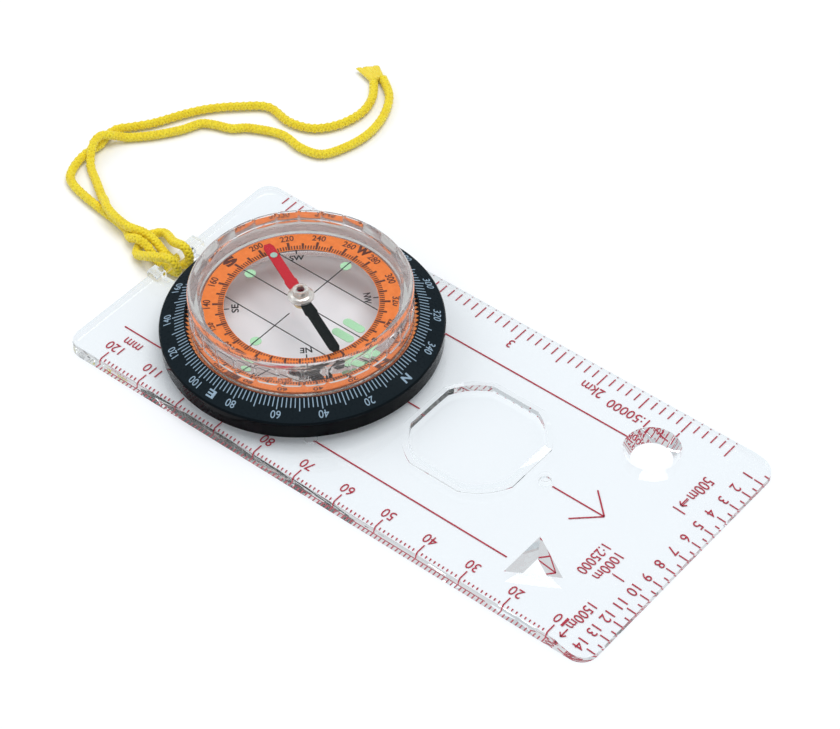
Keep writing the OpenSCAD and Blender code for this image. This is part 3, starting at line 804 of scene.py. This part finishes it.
def on_table(point):
    """A way point on the table. A third number lifts it."""
    lift = point[2] if len(point) > 2 else 0.0
    return Vector((point[0], point[1], CORD_Z + lift))


def spline(points, i, t):
    """Catmull-Rom curve through the way points."""
    last = len(points) - 1
    a, b, c, d = (points[min(max(k, 0), last)] for k in (i - 1, i, i + 1, i + 2))
    square = (2 * a - 5 * b + 4 * c - d) * t ** 2
    cube = (3 * b - a - 3 * c + d) * t ** 3
    return 0.5 * (2 * b + (c - a) * t + square + cube)


def even_line(points, step, pieces=24):
    """The curve through the way points, as points a fixed step apart."""
    fine = [spline(points, i, k / pieces) for i in range(len(points) - 1) for k in range(pieces)]
    fine.append(points[-1])
    line = [fine[0]]
    left = step
    for a, b in zip(fine, fine[1:]):
        length = (b - a).length
        at = left
        while at <= length:
            line.append(a.lerp(b, at / length))
            at += step
        left = at - length
    return line


def carried_frames(line):
    """For each point of a line, its direction and two side vectors that don't twist."""
    frames = []
    side = Vector((0, 0, 1))
    for i in range(len(line)):
        ahead = (line[min(i + 1, len(line) - 1)] - line[max(i - 1, 0)]).normalized()
        side = (side - side.dot(ahead) * ahead).normalized()
        frames.append((ahead, side, ahead.cross(side)))
    return frames


BRAID_STEP = 0.12  # length of one segment of a yarn
BRAID_TURN = 2.8  # length of cord in which a yarn goes round once
YARNS_EACH_WAY = 4
YARN_W = 0.34  # half the yarn's width
YARN_T = 0.17  # half the yarn's thickness
YARN_ORBIT = 0.74  # mean distance from the cord's centre
YARN_WEAVE = 0.09  # how far a yarn moves in and out as it crosses the others
YARN_SIDES = 5


def sweep_yarn(soup, uv_layer, line, frames, hand, start):
    """One flat yarn that circles the cord and goes over and under the yarns of the other hand."""
    rings = []
    for i, centre in enumerate(line):
        along = i * BRAID_STEP
        turns = along / BRAID_TURN
        angle = hand * 2 * math.pi * (turns + start / YARNS_EACH_WAY)
        over = hand * math.cos(2 * math.pi * (YARNS_EACH_WAY * turns) + math.pi * start)
        ahead, side, across = frames[i]
        out = math.cos(angle) * side + math.sin(angle) * across
        round_way = hand * (-math.sin(angle) * side + math.cos(angle) * across)
        lean = math.atan2(2 * math.pi * YARN_ORBIT, BRAID_TURN)
        broad = (math.cos(lean) * round_way - math.sin(lean) * ahead).normalized()
        middle = centre + out * (YARN_ORBIT + YARN_WEAVE * over)
        ring = []
        for k in range(YARN_SIDES):
            a = 2 * math.pi * k / YARN_SIDES
            ring.append(middle + broad * YARN_W * math.cos(a) + out * YARN_T * math.sin(a))
        rings.append([soup.verts.new(point * MM) for point in ring])
    for i in range(len(rings) - 1):
        for k in range(YARN_SIDES):
            n = (k + 1) % YARN_SIDES
            face = soup.faces.new((rings[i][k], rings[i][n], rings[i + 1][n], rings[i + 1][k]))
            face.smooth = True
            ends = (k / YARN_SIDES, (k + 1) / YARN_SIDES)
            alongs = (i * BRAID_STEP, (i + 1) * BRAID_STEP)
            for loop, (u, v) in zip(face.loops, ((0, 0), (1, 0), (1, 1), (0, 1))):
                loop[uv_layer].uv = (ends[u], alongs[v])
    soup.faces.new(rings[0][::-1])
    soup.faces.new(rings[-1])


def lanyard_braid():
    """The whole cord: out along one strand, round the hitch and back along the other."""
    ways = [on_table(point) for point in OUTER_STRAND]
    ways += [Vector(point) for point in HITCH]
    ways += [on_table(point) for point in INNER_STRAND]
    line = even_line(ways, BRAID_STEP)
    frames = carried_frames(line)
    soup = bmesh.new()
    uv_layer = soup.loops.layers.uv.new("yarn")
    for hand in (-1, 1):
        for start in range(YARNS_EACH_WAY):
            sweep_yarn(soup, uv_layer, line, frames, hand, start)
    bmesh.ops.recalc_face_normals(soup, faces=soup.faces)
    return new_piece("lanyard_braid", soup, [yarn], "lanyard", "cord", "lanyard_cord")


# The two corners of the cord end where the strands enter, and the two at its far edge
TIP_NEAR = (Vector((-68.9, -40.4, 0)), Vector((-72.0, -39.5, 0)))
TIP_FAR = (Vector((-70.5, -46.3, 0)), Vector((-74.4, -42.9, 0)))
TIP_ACROSS = 40
TIP_ALONG = 24


def lanyard_fan():
    """The melted cord end: round where the strands enter, pressed thin and ribbed at the far edge."""
    soup = bmesh.new()
    uv_layer = soup.loops.layers.uv.new("yarn")
    sheets = []
    for face_sign in (1, -1):
        sheet = []
        for j in range(TIP_ALONG + 1):
            v = j / TIP_ALONG
            row = []
            for i in range(TIP_ACROSS + 1):
                u = i / TIP_ACROSS
                far = v + 0.05 * math.sin(17 * u) * v * v + 0.03 * math.sin(41 * u + 1) * v * v
                near_point = TIP_NEAR[0].lerp(TIP_NEAR[1], u)
                far_point = TIP_FAR[0].lerp(TIP_FAR[1], u)
                point = near_point.lerp(far_point, min(far, 1.0))
                rim = (1 - (2 * u - 1) ** 6) ** 0.5
                half = (0.86 - 0.56 * v ** 0.7) * rim
                ridge = 0.05 * math.cos(2 * math.pi * 9 * u) + 0.025 * math.cos(2 * math.pi * 23 * u + 2 * v)
                half = max(half + ridge * rim, 0.0)
                point.z = CORD_Z - 0.12 * v + face_sign * half
                row.append(soup.verts.new(point * MM))
            sheet.append(row)
        sheets.append(sheet)

    def quad(corners, at):
        face = soup.faces.new(corners)
        face.smooth = True
        for loop, uv in zip(face.loops, at):
            loop[uv_layer].uv = uv

    for sheet in sheets:
        for j in range(TIP_ALONG):
            for i in range(TIP_ACROSS):
                corners = (sheet[j][i], sheet[j][i + 1], sheet[j + 1][i + 1], sheet[j + 1][i])
                u0, u1 = i / TIP_ACROSS, (i + 1) / TIP_ACROSS
                v0, v1 = j / TIP_ALONG, (j + 1) / TIP_ALONG
                quad(corners, ((u0, v0), (u1, v0), (u1, v1), (u0, v1)))
    top, bottom = sheets
    for j in (0, TIP_ALONG):
        for i in range(TIP_ACROSS):
            u0, u1 = i / TIP_ACROSS, (i + 1) / TIP_ACROSS
            corners = (top[j][i], top[j][i + 1], bottom[j][i + 1], bottom[j][i])
            quad(corners, ((u0, 0), (u1, 0), (u1, 1), (u0, 1)))
    bmesh.ops.remove_doubles(soup, verts=soup.verts, dist=0.001 * MM)
    bmesh.ops.recalc_face_normals(soup, faces=soup.faces)
    return new_piece("lanyard_fan", soup, [fused], "lanyard", "fused_cord", "lanyard_tip")


lanyard_braid()
lanyard_fan()

# ---------- floor, lights and camera ----------

FLOOR_Z = -0.1


def floor_material():
    s = Shader("pale_floor")
    speckle = s.noise(s.place(), 0.02, 3.0)
    colour = s.between(s.spread(speckle, 0.3, 0.7, 0.0, 1.0), (0.90, 0.91, 0.93), (0.92, 0.925, 0.94))
    shader = s.node("BsdfPrincipled", {"Base Color": colour, "Roughness": 0.9, "Specular IOR Level": 0.1})
    return s.surface(shader.outputs[0])


def make_floor():
    soup = bmesh.new()
    bmesh.ops.create_grid(soup, x_segments=8, y_segments=8, size=1.6)
    bmesh.ops.translate(soup, verts=soup.verts, vec=(0, 0, FLOOR_Z * MM))
    mesh = bpy.data.meshes.new("floor")
    soup.to_mesh(mesh)
    soup.free()
    mesh.materials.append(floor_material())
    floor = bpy.data.objects.new("floor", mesh)
    bpy.context.scene.collection.objects.link(floor)


def soft_box(name, direction, distance, size, power, aim=(0, 0.02, 0), lights=True, mirrored=True):
    """A rectangular lamp, sized in metres and watts.

    lights: it brightens what it reaches. mirrored: it shows in glossy surfaces.
    """
    lamp = bpy.data.lights.new(name, "AREA")
    lamp.shape = "RECTANGLE"
    lamp.size, lamp.size_y = size
    lamp.energy = power
    holder = bpy.data.objects.new(name, lamp)
    way = Vector(direction).normalized()
    holder.location = Vector(aim) + way * distance
    holder.rotation_mode = "QUATERNION"
    holder.rotation_quaternion = (-way).to_track_quat("-Z", "Y")
    holder.visible_diffuse = lights
    holder.visible_glossy = mirrored
    bpy.context.scene.collection.objects.link(holder)


def make_world(strength, mirrored_strength):
    """Even pale surroundings, dimmer where a glossy surface mirrors them."""
    world = bpy.data.worlds.new("studio")
    world.use_nodes = True
    tree = world.node_tree
    path = tree.nodes.new("ShaderNodeLightPath")
    mirrored = tree.nodes.new("ShaderNodeMath")
    mirrored.operation = "MULTIPLY"
    dimmer = tree.nodes.new("ShaderNodeMapRange")
    dimmer.inputs["To Min"].default_value = strength
    dimmer.inputs["To Max"].default_value = mirrored_strength
    background = tree.nodes["Background"]
    background.inputs["Color"].default_value = (0.93, 0.96, 1.0, 1.0)
    tree.links.new(path.outputs["Is Glossy Ray"], mirrored.inputs[0])
    tree.links.new(path.outputs["Is Reflection Ray"], mirrored.inputs[1])
    tree.links.new(mirrored.outputs[0], dimmer.inputs["Value"])
    tree.links.new(dimmer.outputs["Result"], background.inputs["Strength"])
    bpy.context.scene.world = world


CAMERA_PLACE = Vector((0.2918, 0.2761, 0.4002))  # metres
CAMERA_AIM = Vector((-0.01018, 0.02122, 0.0))  # metres
CAMERA_ROLL = -1.1  # degrees
CAMERA_LENS = 123.37


def make_camera():
    data = bpy.data.cameras.new("camera")
    data.lens = CAMERA_LENS
    data.sensor_width = 36.0
    data.clip_start = 0.01
    camera = bpy.data.objects.new("camera", data)
    camera.location = CAMERA_PLACE
    camera.rotation_mode = "QUATERNION"
    level = (CAMERA_AIM - CAMERA_PLACE).to_track_quat("-Z", "Y")
    camera.rotation_quaternion = level @ Quaternion((0, 0, 1), math.radians(CAMERA_ROLL))
    bpy.context.scene.collection.objects.link(camera)
    bpy.context.scene.camera = camera


make_floor()
soft_box("key", (-0.17, 0.07, 0.98), 1.2, (0.90, 0.80), 8.1, mirrored=False)
soft_box("fill", (0.15, -0.75, 0.65), 0.9, (0.6, 0.5), 1.2, mirrored=False)
soft_box("sheen", (-0.54, 0.17, 0.83), 1.0, (0.08, 0.26), 0.25, aim=(0, 0.027, 0.008), lights=False)
make_world(0.62, 0.2)
make_camera()

scene = bpy.context.scene
scene.view_settings.view_transform = "Standard"
scene.cycles.max_bounces = 32
scene.cycles.glossy_bounces = 24
scene.cycles.transmission_bounces = 24
scene.cycles.transparent_max_bounces = 32
scene.cycles.caustics_reflective = False
scene.cycles.caustics_refractive = False
